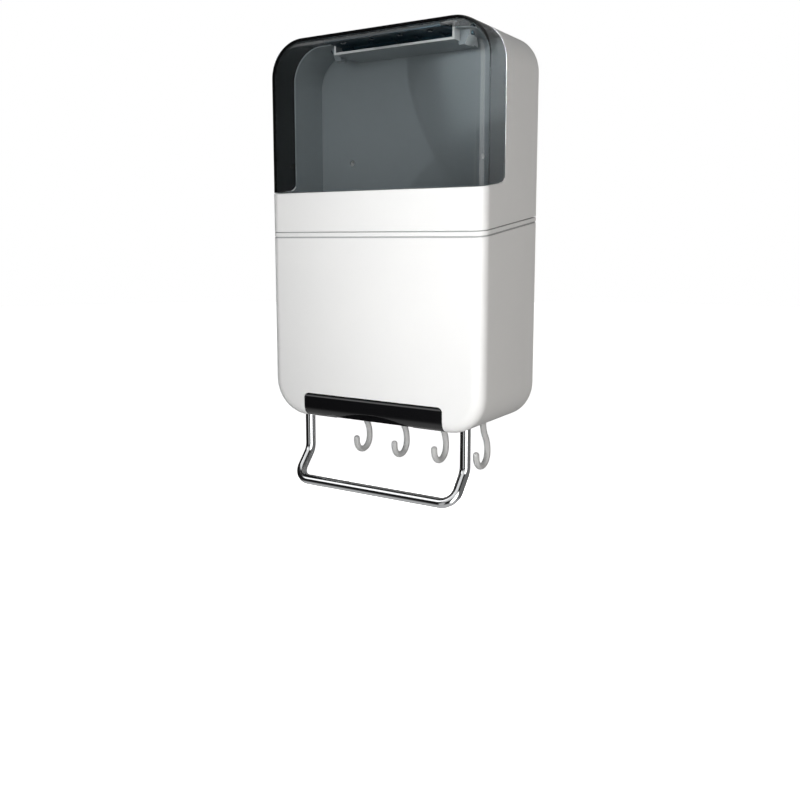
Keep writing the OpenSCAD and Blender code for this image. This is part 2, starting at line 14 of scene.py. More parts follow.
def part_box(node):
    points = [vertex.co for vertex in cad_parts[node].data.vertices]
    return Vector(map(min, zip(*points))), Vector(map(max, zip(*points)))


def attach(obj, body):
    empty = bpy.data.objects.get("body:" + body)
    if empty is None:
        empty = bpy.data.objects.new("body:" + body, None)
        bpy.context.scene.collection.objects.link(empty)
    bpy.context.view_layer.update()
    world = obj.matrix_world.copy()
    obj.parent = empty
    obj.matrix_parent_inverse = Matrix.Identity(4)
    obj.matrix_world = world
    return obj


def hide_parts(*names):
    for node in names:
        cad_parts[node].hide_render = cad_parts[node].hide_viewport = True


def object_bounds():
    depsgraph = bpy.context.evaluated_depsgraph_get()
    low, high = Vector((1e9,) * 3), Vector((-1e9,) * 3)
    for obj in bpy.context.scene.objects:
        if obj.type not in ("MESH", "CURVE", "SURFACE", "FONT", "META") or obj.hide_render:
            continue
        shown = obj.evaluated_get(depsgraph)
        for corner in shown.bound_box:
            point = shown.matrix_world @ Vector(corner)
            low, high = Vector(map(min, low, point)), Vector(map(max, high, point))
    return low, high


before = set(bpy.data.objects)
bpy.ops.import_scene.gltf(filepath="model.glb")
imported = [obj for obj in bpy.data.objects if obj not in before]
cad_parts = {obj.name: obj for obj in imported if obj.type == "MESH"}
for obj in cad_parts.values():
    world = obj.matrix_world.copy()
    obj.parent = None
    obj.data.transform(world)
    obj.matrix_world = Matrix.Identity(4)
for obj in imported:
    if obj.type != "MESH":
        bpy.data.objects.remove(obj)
CAD_BOX = [[float(c) for c in corner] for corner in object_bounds()]

bl_info = {
    "name": "Chopstick holder",
    "version": (1, 0, 0),
    "blender": (4, 5, 0),
    "location": "View3D > Sidebar > Holder",
    "description": "Builds and finishes a wall-hung chopstick holder round its packed solids",
    "category": "Object",
}

MM = 0.001
WHITE = (1.0, 1.0, 1.0)
# Bottom of the case, and two corners of its box
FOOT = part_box("lower_container")[0][2]
CASE_LOW = Vector(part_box("lower_container")[0])
CASE_HIGH = Vector(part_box("upper_shell")[1])
# Plane inside the back wall that parts the inside, which has painted shade, from the white rear, and a point
# inside the case
BACK_FACE = -0.022
CASE_MIDDLE = (0.0, -0.055, -0.064)
# Plane of the rim that the hood closes on, how far the test for it reaches, and the trough's half width
RIM_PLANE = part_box("lid")[1][1] + 0.0008
RIM_REACH = 0.001
TROUGH_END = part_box("lid_hinge_leaf")[1][0] + 0.003
# How far the painted shade in the seam's gap and moulded line reaches past their edges
SEAM_SHADE_EDGE = 0.00005
# A face whose normal goes this far to the front looks to the front
FRONT_FACING = -0.9
# Edges that turn by more than this are sharp
SHARP = math.radians(40)
# Tolerance for edges and faces that lie in a plane
IN_PLANE = 1e-6
# Degrees in one step of a rod's bend, and the fewest steps
BEND_STEP = 5
BEND_STEPS = 6
# Rounds at a rod's plain end and at its tip, as shares of its diameter
END_ROUND = 0.08
TIP_ROUND = 0.49
# Steps in the round of the hood's lower rear corners
CORNER_STEPS = 8
# Stakes in the row under the hood, and the round of their heads as a share of their height
STAKES = 4
HEAD_ROUND = 0.8
# Point that the wide lights face, and the tint of those on the right
LIT_POINT = Vector((0.0, -0.05, -0.06))
WARM = (1.0, 0.945, 0.88)
# Brightness of the surround for light that bounces, and between its soft boxes
BOUNCE_TONE = 0.105
DARK_TONE = 0.012
# The room through the hood at eye level and below it: height of the direction, and brightness
ROOM_LEVEL = (-0.05, 0.003)
ROOM_BELOW = (-0.3, 0.3)
# Directions are flattened in height by this, so that the round boxes show as tall ones
FLATTENING = 0.5
SENSOR_WIDTH = 36.0
FLOOR_RADIUS = 9.0
# Soft boxes of the surround as gloss shows them: direction, cosines of the outer and inner edge, brightness
SOFT_BOXES = (
    ((0.79, -0.61, 0.0), 0.905, 0.955, 2.8),
    ((-0.14, -0.97, -0.15), 0.96, 0.985, 0.5),
    ((-0.593, -0.722, 0.4), 0.965, 0.985, 1.6),
    ((0.0, -0.754, 0.656), 0.78, 0.92, 0.9),
    ((0.6, 0.8, 0.0), 0.2, 0.5, 0.16),
    ((0.0, 0.0, -1.0), 0.15, 0.45, 0.5),
)
HOOKS = {"hook_1": "first_hook", "hook_2": "second_hook", "hook_3": "third_hook", "hook_4": "fourth_hook"}


# Values that a user would change

def length(name, description, millimetres):
    """A length property whose default is given in millimetres."""
    return FloatProperty(
        name=name, description=description, default=millimetres * MM, unit="LENGTH", precision=5
    )


def tint(name, description, colour):
    """A colour property."""
    return FloatVectorProperty(
        name=name, description=description, default=colour, subtype="COLOR", size=3, min=0.0, max=1.0
    )


def share(name, description, value):
    """A factor between nought and one."""
    return FloatProperty(
        name=name, description=description, default=value, min=0.0, max=1.0, subtype="FACTOR"
    )


def power(name, description, watts):
    """The power of a light."""
    return FloatProperty(name=name, description=description, default=watts, min=0.0, unit="POWER")


class HolderSizes(bpy.types.PropertyGroup):
    """Sizes of the pieces that are modelled here"""

    corner_radius: length("Corner radius", "Radius of the case's corners seen from the front", 33)
    edge_radius: length("Edge radius", "Radius of the rounded edge round the front", 10)
    lid_wall: length("Lid wall", "Thickness of the hood", 2.2)
    lid_corner: length("Lid corner", "Radius of the hood's lower rear corners", 7)
    lid_rim: length("Lid rim", "Height of the hood's lower edge above the case's bottom, at the front", 200)
    seam_height: length("Seam height", "Height of the seam above the case's bottom, at the front", 165)
    seam_gap: length("Seam gap", "Width of the open seam", 0.8)
    line_drop: length("Line drop", "Distance from the seam down to the moulded line under it", 3.8)
    line_width: length("Line width", "Width of the moulded line", 1.2)
    seam_lip: length("Seam lip", "Half height of the lips that close the seam behind the back wall", 3)
    lip_wall: length("Lip wall", "Thickness of those lips", 1.2)
    case_wall: length("Case wall", "Thickness of the case's walls", 2.5)
    seam_rise: length("Seam rise", "Rise of the seam and the hood's edge from the front to the wall", 13.5)
    edge_break: length("Edge break", "Width of the small rounds on the pieces' edges", 0.5)
    leaf_tongue: length("Leaf tongue", "Thickness of the hinge leaf's tongue under the hood", 2)
    stake_head: length("Stake head", "Diameter of the stakes that hold the hinge leaf under the hood", 5.2)
    stake_height: length("Stake height", "Height of the stakes' heads", 1.2)
    bar_diameter: length("Bar diameter", "Diameter of the towel bar's rod", 9)
    bar_span: length("Bar span", "Distance between the bar's two legs", 163.4)
    bar_from_wall: length("Bar from wall", "Distance of the bar's legs from the wall", 78)
    bar_reach: length("Bar reach", "How far the bar stands in front of its legs", 20.5)
    bar_leg: length("Bar leg", "Length of the straight leg below the case", 35)
    bar_drop: length("Bar drop", "Depth of the bar below the case", 59)
    leg_bend: length("Leg bend", "Radius of the bend at the foot of a leg", 14)
    end_bend: length("End bend", "Radius of the bend at an end of the bar", 13)
    hook_diameter: length("Hook diameter", "Diameter of a hook's rod", 5.9)
    hook_from_wall: length("Hook from wall", "Distance of the hooks' necks from the wall", 13)
    hook_neck: length("Hook neck", "Length of the straight neck below the case", 13)
    hook_lean: length("Hook lean", "How far the shank leans back", 9.5)
    hook_lean_height: length("Lean height", "Height between the corners of the leaning stretch", 14)
    hook_lean_bend: length("Lean bend", "Radius of the bends of the leaning stretch", 22)
    hook_shank: length("Hook shank", "Length of the shank above the bowl", 8.5)
    hook_bowl: length("Hook bowl", "Radius of the hook's bowl, at the middle of the rod", 11)
    hook_flat: length("Hook flat", "Width of the flat at the bottom of the bowl", 0.5)
    hook_tip: length("Hook tip", "Length of the straight tip, up to its rounded end", 1.5)
    hook_head: length("Hook head", "Width of a hook's head in the rail", 9.2)
    hook_head_height: length("Head height", "Height of a hook's head in the rail", 3)
    rod_sides: IntProperty(name="Rod sides", description="Faces round a rod", default=32, min=8, max=64)


class HolderFinish(bpy.types.PropertyGroup):
    """Colours and gloss of the finishes"""

    shell_colour: tint("Shell", "White of the moulded case", (0.87, 0.87, 0.862))
    shell_shade: tint("Shell shade", "Second tone of the white", (0.835, 0.838, 0.835))
    # Painted shade: a darker grey painted on the inside of the case and on the rim under the hood
    inside_shade_colour: tint("Inside shade", "Grey of the inside of the case", (0.25, 0.276, 0.288))
    # Painted shade: the grey painted in the depth of the seam and of the moulded line
    seam_shade_colour: tint("Seam shade", "Grey in the depth of the seam and of the moulded line", (0.46, 0.465, 0.47))
    shell_gloss: share("Shell roughness", "Roughness of the case", 0.32)
    smoke_pane: tint("Pane", "Tint of the hood's front pane", (0.9, 0.935, 0.95))
    smoke_side: tint("Hood sides", "Tint of the hood's sides and top", (0.8, 0.815, 0.82))
    black_colour: tint("Black", "Black of the tray", (0.003, 0.003, 0.0034))
    hinge_colour: tint("Hinge", "Blue-black of the hinge leaf and its pins", (0.006, 0.018, 0.026))
    inner_colour: tint("Inside grey", "Grey of the drain plate and the dividers", (0.55, 0.56, 0.57))
    chrome_colour: tint("Chrome", "Tone of the plated bar", (0.78, 0.79, 0.8))
    frost_colour: tint("Frosted", "Tone of the hooks", (0.62, 0.623, 0.622))
    steel_colour: tint("Steel", "Tone of the screws", (0.56, 0.56, 0.57))


class HolderStage(bpy.types.PropertyGroup):
    """Camera and light"""

    lens: FloatProperty(name="Lens", description="Focal length", default=39.617, unit="CAMERA")
    heading: FloatProperty(
        name="Heading", description="Turn of the camera to the left of straight ahead",
        default=math.radians(32.0885), subtype="ANGLE",
    )
    pitch: FloatProperty(
        name="Pitch", description="Tilt of the camera below the horizon",
        default=math.radians(7.707), subtype="ANGLE",
    )
    shift: FloatProperty(name="Shift", description="Vertical shift of the picture", default=-0.05)
    place: FloatVectorProperty(
        name="Place", description="Place of the camera",
        default=(0.41913, -0.71934, -0.0724), subtype="TRANSLATION",
    )
    near_power: power("Near", "Power of the close front light", 0.67)
    front_power: power("Front", "Power of the narrow front light", 0.47)
    hood_power: power("Hood", "Power of the light on what is under the hood", 0.6)
    side_power: power("Side", "Power of the light on the right", 2.2)
    rake_power: power("Rake", "Power of the light behind the right side", 0.3)
    low_power: power("Low", "Power of the light from below the right side", 1.2)
    rear_power: power("Rear", "Power of the light behind the holder", 24.0)
    floor_drop: length("Floor drop", "Depth of the floor below the holder", 450)


def seam_slope(s):
    """How much the seam and the hood's edge rise for each length towards the wall."""
    return s.seam_rise / (CASE_HIGH.y - CASE_LOW.y)


# Node work

def node(tree, kind, place, **values):
    """Adds a node; values whose names match an input fill that socket, others set the node's own settings."""
    made = tree.nodes.new(kind)
    made.location = place
    for name, value in values.items():
        socket = made.inputs.get(name.replace("_", " "))
        if socket is not None and not hasattr(made, name):
            socket.default_value = value
        else:
            setattr(made, name, value)
    return made


def ramp(tree, place, start, stop, kind="LINEAR"):
    """A node that leads one value to another; start and stop are pairs of a value that comes in and its result."""
    made = node(tree, "ShaderNodeMapRange", place, interpolation_type=kind)
    for socket, value in zip(("From Min", "To Min", "From Max", "To Max"), (*start, *stop)):
        made.inputs[socket].default_value = value
    return made


def group_shell(name, inputs, outputs):
    """An empty node group with the named sockets, and its two end nodes."""
    tree = bpy.data.node_groups.new(name, "ShaderNodeTree")
    for socket, kind, default in inputs:
        made = tree.interface.new_socket(socket, in_out="INPUT", socket_type=kind)
        made.default_value = default
    for socket, kind in outputs:
        tree.interface.new_socket(socket, in_out="OUTPUT", socket_type=kind)
    return tree, node(tree, "NodeGroupInput", (-900, 0)), node(tree, "NodeGroupOutput", (700, 0))


def moulded_group():
    """Group of moulded or drawn surfaces: slow drift of tone and gloss, fine grain and a lighter tone on the
    edges.
    """
    name = "moulded_surface"
    if name in bpy.data.node_groups:
        return bpy.data.node_groups[name]
    tree, start, end = group_shell(
        name,
        [
            ("Tone", "NodeSocketColor", (0.8, 0.8, 0.8, 1.0)),
            ("Second Tone", "NodeSocketColor", (0.75, 0.75, 0.75, 1.0)),
            ("Edge Tone", "NodeSocketColor", (0.85, 0.85, 0.85, 1.0)),
            ("Gloss Low", "NodeSocketFloat", 0.2),
            ("Gloss High", "NodeSocketFloat", 0.3),
            ("Grain Scale", "NodeSocketFloat", 900.0),
            ("Grain Depth", "NodeSocketFloat", 0.05),
            ("Edge Width", "NodeSocketFloat", 0.0006),
        ],
        [("Color", "NodeSocketColor"), ("Roughness", "NodeSocketFloat"), ("Normal", "NodeSocketVector")],
    )
    link = tree.links.new
    where = node(tree, "ShaderNodeTexCoord", (-900, -300))
    drift = node(tree, "ShaderNodeTexNoise", (-650, 200), Scale=17.0, Detail=3.0, Roughness=0.5)
    smear = node(tree, "ShaderNodeTexNoise", (-650, -60), Scale=45.0, Detail=2.0, Roughness=0.5)
    grain = node(tree, "ShaderNodeTexNoise", (-650, -320), Detail=2.0, Roughness=0.5)
    for noise in (drift, smear, grain):
        link(where.outputs["Object"], noise.inputs["Vector"])
    link(start.outputs["Grain Scale"], grain.inputs["Scale"])
    tone = node(tree, "ShaderNodeMix", (-380, 250), data_type="RGBA")
    link(drift.outputs["Fac"], tone.inputs["Factor"])
    link(start.outputs["Tone"], tone.inputs["A"])
    link(start.outputs["Second Tone"], tone.inputs["B"])
    soft = node(tree, "ShaderNodeBevel", (-380, -480), samples=6)
    link(start.outputs["Edge Width"], soft.inputs["Radius"])
    flat = node(tree, "ShaderNodeNewGeometry", (-380, -620))
    bend = node(tree, "ShaderNodeVectorMath", (-160, -480), operation="DOT_PRODUCT")
    link(soft.outputs["Normal"], bend.inputs[0])
    link(flat.outputs["Normal"], bend.inputs[1])
    edge = ramp(tree, (20, -480), (0.985, 0.0), (0.86, 1.0))
    link(bend.outputs["Value"], edge.inputs["Value"])
    edge_toned = node(tree, "ShaderNodeMix", (220, 250), data_type="RGBA")
    link(edge.outputs["Result"], edge_toned.inputs["Factor"])
    link(tone.outputs["Result"], edge_toned.inputs["A"])
    link(start.outputs["Edge Tone"], edge_toned.inputs["B"])
    gloss = ramp(tree, (-160, 0), (0.3, 0.0), (0.7, 1.0))
    link(smear.outputs["Fac"], gloss.inputs["Value"])
    link(start.outputs["Gloss Low"], gloss.inputs["To Min"])
    link(start.outputs["Gloss High"], gloss.inputs["To Max"])
    bump = node(tree, "ShaderNodeBump", (220, -250))
    bump.inputs["Distance"].default_value = 0.0002
    link(start.outputs["Grain Depth"], bump.inputs["Strength"])
    link(grain.outputs["Fac"], bump.inputs["Height"])
    link(soft.outputs["Normal"], bump.inputs["Normal"])
    link(edge_toned.outputs["Result"], end.inputs["Color"])
    link(gloss.outputs["Result"], end.inputs["Roughness"])
    link(bump.outputs["Normal"], end.inputs["Normal"])
    return tree


def bare_finish(name):
    """A new material, its tree and its Principled node."""
    finish = bpy.data.materials.new(name)
    finish.use_nodes = True
    shader = finish.node_tree.nodes["Principled BSDF"]
    return finish, finish.node_tree, shader


def opaque(colour):
    """A colour with full alpha."""
    return (colour[0], colour[1], colour[2], 1.0)


def moulded_finish(name, tone, second, edge, gloss, grain, sockets):
    """A moulded, drawn or plated finish. gloss is a low and high roughness, grain its scale and depth."""
    if name in bpy.data.materials:
        return bpy.data.materials[name]
    finish, tree, shader = bare_finish(name)
    surface = node(tree, "ShaderNodeGroup", (-400, 200))
    surface.node_tree = moulded_group()
    for socket, value in (
        ("Tone", opaque(tone)), ("Second Tone", opaque(second)), ("Edge Tone", opaque(edge)),
        ("Gloss Low", gloss[0]), ("Gloss High", gloss[1]),
        ("Grain Scale", grain[0]), ("Grain Depth", grain[1]),
    ):
        surface.inputs[socket].default_value = value
    for here, there in (("Color", "Base Color"), ("Roughness", "Roughness"), ("Normal", "Normal")):
        tree.links.new(surface.outputs[here], shader.inputs[there])
    for socket, value in sockets.items():
        shader.inputs[socket].default_value = value
    return finish


def shade(colour, by):
    """The colour times a factor."""
    return tuple(channel * by for channel in colour[:3])


def inside_shade_mask(tree):
    """A socket that is one where painted shade goes: on the faces that look into the case, in front of its back
    wall.
    """
    link = tree.links.new
    where = node(tree, "ShaderNodeTexCoord", (-1400, -500))
    away = node(tree, "ShaderNodeVectorMath", (-1200, -420), operation="SUBTRACT")
    away.inputs[1].default_value = CASE_MIDDLE
    link(where.outputs["Object"], away.inputs[0])
    facing = node(tree, "ShaderNodeVectorMath", (-1000, -420), operation="DOT_PRODUCT")
    link(where.outputs["Normal"], facing.inputs[0])
    link(away.outputs["Vector"], facing.inputs[1])
    axes = node(tree, "ShaderNodeSeparateXYZ", (-1200, -620))
    link(where.outputs["Object"], axes.inputs["Vector"])
    tests = []
    for i, (socket, limit) in enumerate(((facing.outputs["Value"], 0.0), (axes.outputs["Y"], BACK_FACE))):
        test = node(tree, "ShaderNodeMath", (-800, -420 - 200 * i), operation="LESS_THAN")
        test.inputs[1].default_value = limit
        link(socket, test.inputs[0])
        tests.append(test.outputs["Value"])
    both = node(tree, "ShaderNodeMath", (-600, -500), operation="MULTIPLY")
    link(tests[0], both.inputs[0])
    link(tests[1], both.inputs[1])
    # The rim that the hood closes on gets the painted shade too, beside the hinge trough; it dims the rim's
    # reflection in the hood
    rim = None
    wide = node(tree, "ShaderNodeMath", (-1000, -900), operation="ABSOLUTE")
    link(axes.outputs["X"], wide.inputs[0])
    looks = node(tree, "ShaderNodeSeparateXYZ", (-1000, -1100))
    link(where.outputs["Normal"], looks.inputs["Vector"])
    for i, (socket, kind, limit) in enumerate((
        (looks.outputs["Y"], "LESS_THAN", FRONT_FACING),
        (axes.outputs["Y"], "GREATER_THAN", RIM_PLANE - RIM_REACH),
        (axes.outputs["Y"], "LESS_THAN", RIM_PLANE + RIM_REACH),
        (wide.outputs["Value"], "GREATER_THAN", TROUGH_END),
    )):
        test = node(tree, "ShaderNodeMath", (-800, -900 - 200 * i), operation=kind)
        test.inputs[1].default_value = limit
        link(socket, test.inputs[0])
        if rim is not None:
            part = node(tree, "ShaderNodeMath", (-600, -900 - 200 * i), operation="MULTIPLY")
            link(rim, part.inputs[0])
            link(test.outputs["Value"], part.inputs[1])
            test = part
        rim = test.outputs["Value"]
    either = node(tree, "ShaderNodeMath", (-400, -600), operation="MAXIMUM")
    link(both.outputs["Value"], either.inputs[0])
    link(rim, either.inputs[1])
    return either.outputs["Value"]


def seam_shade_mask(tree, s):
    """A socket that is one in the open seam and in the moulded line under it, where grey is painted as shade; both
    slant to the wall.
    """
    slope = seam_slope(s)
    seam = FOOT + s.seam_height - slope * CASE_LOW.y
    where = node(tree, "ShaderNodeTexCoord", (-1400, 900))
    height = node(tree, "ShaderNodeVectorMath", (-1200, 900), operation="DOT_PRODUCT")
    height.inputs[1].default_value = (0.0, -slope, 1.0)
    tree.links.new(where.outputs["Object"], height.inputs[0])
    either = node(tree, "ShaderNodeMath", (-800, 900), operation="MAXIMUM")
    for i, (middle, width) in enumerate((
        (seam, s.seam_gap), (seam - s.line_drop - s.line_width / 2, s.line_width)
    )):
        band = node(tree, "ShaderNodeMath", (-1000, 900 - 200 * i), operation="COMPARE")
        band.inputs[1].default_value = middle
        band.inputs[2].default_value = width / 2 + SEAM_SHADE_EDGE
        tree.links.new(height.outputs["Value"], band.inputs[0])
        tree.links.new(band.outputs["Value"], either.inputs[i])
    return either.outputs["Value"]


def white_finish(f, s):
    """Gloss white moulding of the two halves of the case, with painted shade: a darker grey inside, and grey in
    the seam's gap and moulded line.
    """
    name = "white_moulding"
    if name in bpy.data.materials:
        return bpy.data.materials[name]
    finish = moulded_finish(
        name, f.shell_colour, f.shell_shade, (0.9, 0.9, 0.89),
        (f.shell_gloss - 0.02, f.shell_gloss + 0.02), (1500.0, 0.03),
        {"IOR": 1.5, "Coat Weight": 0.25, "Coat Roughness": 0.12},
    )
    tree = finish.node_tree
    shader = tree.nodes["Principled BSDF"]
    outer = shader.inputs["Base Color"].links[0].from_socket
    # Painted shade: the inside of the case and the rim under the hood are mixed to a darker grey
    shaded_inside = node(tree, "ShaderNodeMix", (-150, 300), data_type="RGBA")
    shaded_inside.inputs["B"].default_value = opaque(f.inside_shade_colour)
    tree.links.new(outer, shaded_inside.inputs["A"])
    tree.links.new(inside_shade_mask(tree), shaded_inside.inputs["Factor"])
    # Painted shade: grey in the seam's gap and in the moulded line under it
    seam_shade_mix = node(tree, "ShaderNodeMix", (0, 500), data_type="RGBA")
    seam_shade_mix.inputs["B"].default_value = opaque(f.seam_shade_colour)
    tree.links.new(shaded_inside.outputs["Result"], seam_shade_mix.inputs["A"])
    tree.links.new(seam_shade_mask(tree, s), seam_shade_mix.inputs["Factor"])
    tree.links.new(seam_shade_mix.outputs["Result"], shader.inputs["Base Color"])
    return finish


def black_finish(f):
    """Gloss black moulding of the tray."""
    return moulded_finish(
        "black_gloss", f.black_colour, shade(f.black_colour, 1.8), (0.05, 0.05, 0.052),
        (0.1, 0.2), (1300.0, 0.05), {"IOR": 1.5, "Coat Weight": 0.3, "Coat Roughness": 0.06},
    )


def hinge_finish(f):
    """Satin black moulding of the hinge."""
    return moulded_finish(
        "black_satin", f.hinge_colour, shade(f.hinge_colour, 1.4), (0.05, 0.06, 0.065),
        (0.32, 0.46), (1100.0, 0.12), {"IOR": 1.5, "Specular IOR Level": 0.25},
    )


def inner_finish(f):
    """Satin grey moulding of the drain plate, the dividers and the hook rail."""
    return moulded_finish(
        "grey_moulding", f.inner_colour, shade(f.inner_colour, 0.93), shade(f.inner_colour, 1.15),
        (0.34, 0.46), (1000.0, 0.1), {"IOR": 1.5},
    )


def chrome_finish(f):
    """Plated rod of the towel bar."""
    return moulded_finish(
        "plated_rod", f.chrome_colour, shade(f.chrome_colour, 0.93), f.chrome_colour,
        (0.05, 0.13), (650.0, 0.025), {"Metallic": 1.0},
    )


def steel_finish(f):
    """Zinc-plated screws."""
    return moulded_finish(
        "zinc_screw", f.steel_colour, shade(f.steel_colour, 0.82), shade(f.steel_colour, 1.2),
        (0.29, 0.42), (1900.0, 0.12), {"Metallic": 1.0},
    )


def frost_finish(f):
    """Milky, slightly see-through moulding of the hooks."""
    return moulded_finish(
        "milky_moulding", f.frost_colour, shade(f.frost_colour, 0.94), shade(f.frost_colour, 1.08),
        (0.3, 0.38), (1400.0, 0.06),
        {
            "IOR": 1.49, "Subsurface Weight": 0.35, "Subsurface Radius": (0.004, 0.004, 0.0042),
            "Subsurface Scale": 0.6, "Coat Weight": 0.2, "Coat Roughness": 0.1,
        },
    )


def smoke_finish(f, s):
    """Smoked see-through moulding: the pane is lighter, the sides and the top are darker."""
    name = "smoked_hood"
    if name in bpy.data.materials:
        return bpy.data.materials[name]
    finish, tree, shader = bare_finish(name)
    link = tree.links.new
    where = node(tree, "ShaderNodeTexCoord", (-1000, 100))
    axes = node(tree, "ShaderNodeSeparateXYZ", (-820, 100))
    link(where.outputs["Object"], axes.inputs["Vector"])
    pane_end = (CASE_LOW.y + 0.4 * s.edge_radius, 0.0)
    side_start = (CASE_LOW.y + 1.3 * s.edge_radius, 1.0)
    depth = ramp(tree, (-620, 100), pane_end, side_start, "SMOOTHSTEP")
    link(axes.outputs["Y"], depth.inputs["Value"])
    tone = node(tree, "ShaderNodeMix", (-400, 200), data_type="RGBA")
    tone.inputs["A"].default_value = opaque(f.smoke_pane)
    tone.inputs["B"].default_value = opaque(f.smoke_side)
    link(depth.outputs["Result"], tone.inputs["Factor"])
    link(tone.outputs["Result"], shader.inputs["Base Color"])
    smear = node(tree, "ShaderNodeTexNoise", (-820, -150), Scale=55.0, Detail=4.0, Roughness=0.6)
    link(where.outputs["Object"], smear.inputs["Vector"])
    gloss = ramp(tree, (-400, -100), (0.4, 0.0), (0.75, 0.04))
    link(smear.outputs["Fac"], gloss.inputs["Value"])
    link(gloss.outputs["Result"], shader.inputs["Roughness"])
    shader.inputs["Transmission Weight"].default_value = 1.0
    shader.inputs["IOR"].default_value = 1.49
    return finish


# Mesh work

def dress(piece, finish):
    """Gives a piece one finish, on all its faces."""
    piece.data.materials.clear()
    piece.data.materials.append(finish)


def dress_node(name, finish):
    """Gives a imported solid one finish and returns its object."""
    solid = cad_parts[name]
    dress(solid, finish)
    return solid


def finished_object(name, bm, finish, body, nodes):
    """Turns a bmesh into a smooth-shaded piece with sharp edges kept, dressed and riding on its body."""
    for face in bm.faces:
        face.smooth = True
    for edge in bm.edges:
        edge.smooth = len(edge.link_faces) == 2 and edge.calc_face_angle(math.pi) < SHARP
    mesh = bpy.data.meshes.new(name)
    bm.to_mesh(mesh)
    bm.free()
    piece = bpy.data.objects.new(name, mesh)
    bpy.context.scene.collection.objects.link(piece)
    dress(piece, finish)
    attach(piece, body)
    if nodes:
        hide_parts(*nodes)
    return piece


def even_normals(piece):
    """Large faces keep their flat shading beside small rounds."""
    weighted = piece.modifiers.new("even_normals", "WEIGHTED_NORMAL")
    weighted.keep_sharp = True


def round_edges(bm, edges, radius, segments, clamp=False):
    """Rounds the edges by a radius."""
    bmesh.ops.bevel(
        bm, geom=edges, offset=radius, offset_type="OFFSET", segments=segments, profile=0.5,
        affect="EDGES", material=-1, clamp_overlap=clamp,
    )


def box_between(bm, low, high):
    """A box between two corners; its vertices are returned."""
    middle, span = (low + high) / 2, high - low
    stand = Matrix.Translation(middle) @ Matrix.Diagonal((span.x, span.y, span.z, 1.0))
    return bmesh.ops.create_cube(bm, size=1.0, matrix=stand)["verts"]


def run_rod(bm, corners, radii, diameter, sides, tip=False):
    """Runs a round rod along the corners: rings are pushed along each straight and spun round each bend."""
    corners = [Vector(corner) for corner in corners]
    ways = [(b - a).normalized() for a, b in zip(corners, corners[1:])]
    turns = [before.angle(after) for before, after in zip(ways, ways[1:])]
    cuts = [0.0] + [r * math.tan(t / 2) for r, t in zip(radii, turns)] + [0.0]
    stand = Matrix.Translation(corners[0]) @ ways[0].to_track_quat("Z", "Y").to_matrix().to_4x4()
    ring = bmesh.ops.create_circle(
        bm, cap_ends=False, segments=sides, radius=diameter / 2, matrix=stand
    )["verts"]
    edges = list({edge for vert in ring for edge in vert.link_edges})
    first = edges
    for i, way in enumerate(ways):
        run = (corners[i + 1] - corners[i]).length - cuts[i] - cuts[i + 1]
        made = bmesh.ops.extrude_edge_only(bm, edges=edges)["geom"]
        edges = [item for item in made if isinstance(item, bmesh.types.BMEdge)]
        verts = list({vert for edge in edges for vert in edge.verts})
        bmesh.ops.translate(bm, verts=verts, vec=way * run)
        edges = [edge for edge in edges if all(vert in verts for vert in edge.verts)]
        if i < len(turns):
            after = ways[i + 1]
            inward = (after - way * after.dot(way)).normalized()
            start = corners[i + 1] - way * cuts[i + 1]
            steps = max(BEND_STEPS, round(math.degrees(turns[i]) / BEND_STEP))
            made = bmesh.ops.spin(
                bm, geom=edges, cent=start + inward * radii[i], axis=way.cross(inward), angle=turns[i],
                steps=steps, use_merge=False, use_duplicate=False,
            )["geom_last"]
            edges = [item for item in made if isinstance(item, bmesh.types.BMEdge)]
    for loop, share_rounded, segments in (
        (first, END_ROUND, 3), (edges, TIP_ROUND if tip else END_ROUND, 10 if tip else 3)
    ):
        caps = bmesh.ops.contextual_create(bm, geom=loop)["faces"]
        rim = [edge for cap in caps for edge in cap.edges]
        round_edges(bm, rim, diameter * share_rounded, segments, clamp=True)
    bmesh.ops.recalc_face_normals(bm, faces=bm.faces)


def rounded_block(bm, low, high, radius, segments=3):
    """A box between two corners with all its edges rounded."""
    made = box_between(bm, Vector(low), Vector(high))
    edges = list({edge for vert in made for edge in vert.link_edges})
    round_edges(bm, edges, radius, segments, clamp=True)


def case_skin(bm, s, rear):
    """Outer skin of the whole case form, open at the rear plane."""
    box_between(bm, CASE_LOW, Vector((CASE_HIGH.x, rear, CASE_HIGH.z)))
    along = [e for e in bm.edges if abs((e.verts[0].co - e.verts[1].co).normalized().y) > 0.99]
    round_edges(bm, along, s.corner_radius, 20)
    near = [e for e in bm.edges if all(abs(v.co.y - CASE_LOW.y) < IN_PLANE for v in e.verts)]
    round_edges(bm, near, s.edge_radius, 10)
    far = [f for f in bm.faces if all(abs(v.co.y - rear) < IN_PLANE for v in f.verts)]
    bmesh.ops.delete(bm, geom=far, context="FACES_ONLY")


def cut_off(bm, point, normal):
    """Cuts the whole mesh by a plane and removes what lies on the normal's side."""
    bmesh.ops.bisect_plane(
        bm, geom=bm.verts[:] + bm.edges[:] + bm.faces[:], dist=1e-7, plane_co=point, plane_no=normal,
        clear_outer=True, clear_inner=False,
    )


# Light

def soft_light(name, place, target, size, watts, spread, colour):
    """An area light that faces the target; neither the camera nor gloss nor the hood shows it."""
    data = bpy.data.lights.new(name, "AREA")
    data.shape = "RECTANGLE"
    data.size, data.size_y = size
    data.energy = watts
    data.color = colour
    data.spread = math.radians(spread)
    lamp = bpy.data.objects.new(name, data)
    lamp.location = place
    lamp.rotation_euler = (Vector(target) - Vector(place)).to_track_quat("-Z", "Y").to_euler()
    lamp.visible_camera = False
    lamp.visible_glossy = False
    lamp.visible_transmission = False
    bpy.context.scene.collection.objects.link(lamp)


# Operators, one for each piece or group of like pieces

